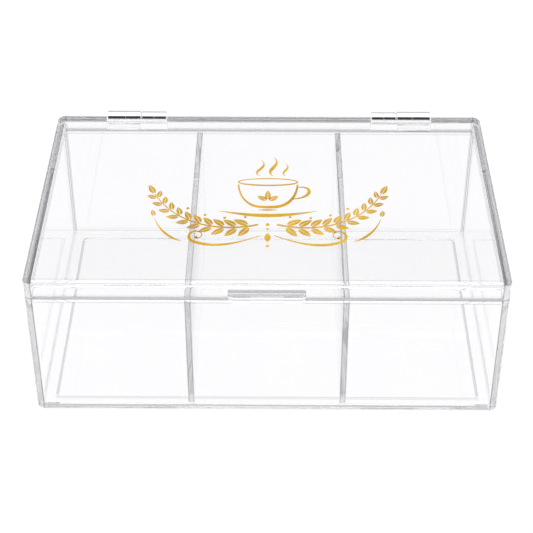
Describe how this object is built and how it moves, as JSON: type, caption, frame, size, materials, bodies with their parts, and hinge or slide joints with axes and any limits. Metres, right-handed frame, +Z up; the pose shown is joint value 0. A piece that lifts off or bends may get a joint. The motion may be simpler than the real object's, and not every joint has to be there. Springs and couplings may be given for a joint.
{
  "type": "tea bag organizer box",
  "caption": "Clear rectangular box with upright partitions for tea bag envelopes, a lid hinged along the rear edge and a front finger tab.",
  "frame": {"origin": "on the resting plane, under the middle of the object's bounding box, which is also the middle of the tub", "axes": "+X to the right seen from the front and along the length, +Y from the finger tab to the hinges, +Z up"},
  "size_m": [0.228, 0.16, 0.0812],
  "materials": {
    "clear_shell": "clear polished acrylic",
    "clear_panel": "clear polished acrylic sheet with solvent-bonded edges",
    "bright_hinge": "polished chrome plate",
    "steel_pin": "bright drawn steel",
    "gold_ornament": "metallic gold print"
  },
  "bodies": {
    "base": {"tub": "clear_shell", "left_divider": "clear_panel", "right_divider": "clear_panel", "left_hinge_tub_knuckle": "bright_hinge", "right_hinge_tub_knuckle": "bright_hinge", "left_hinge_pin": "steel_pin", "right_hinge_pin": "steel_pin"},
    "lid": {"lid": "clear_shell", "left_hinge_lid_knuckle": "bright_hinge", "right_hinge_lid_knuckle": "bright_hinge"}
  },
  "joints": [
    {"name": "lid_hinge", "type": "hinge", "parent": "base", "child": "lid", "pos_m": [0, 0.0756, 0.0768], "axis": [-1, 0, 0], "range_deg": [0, 110]}
  ]
}
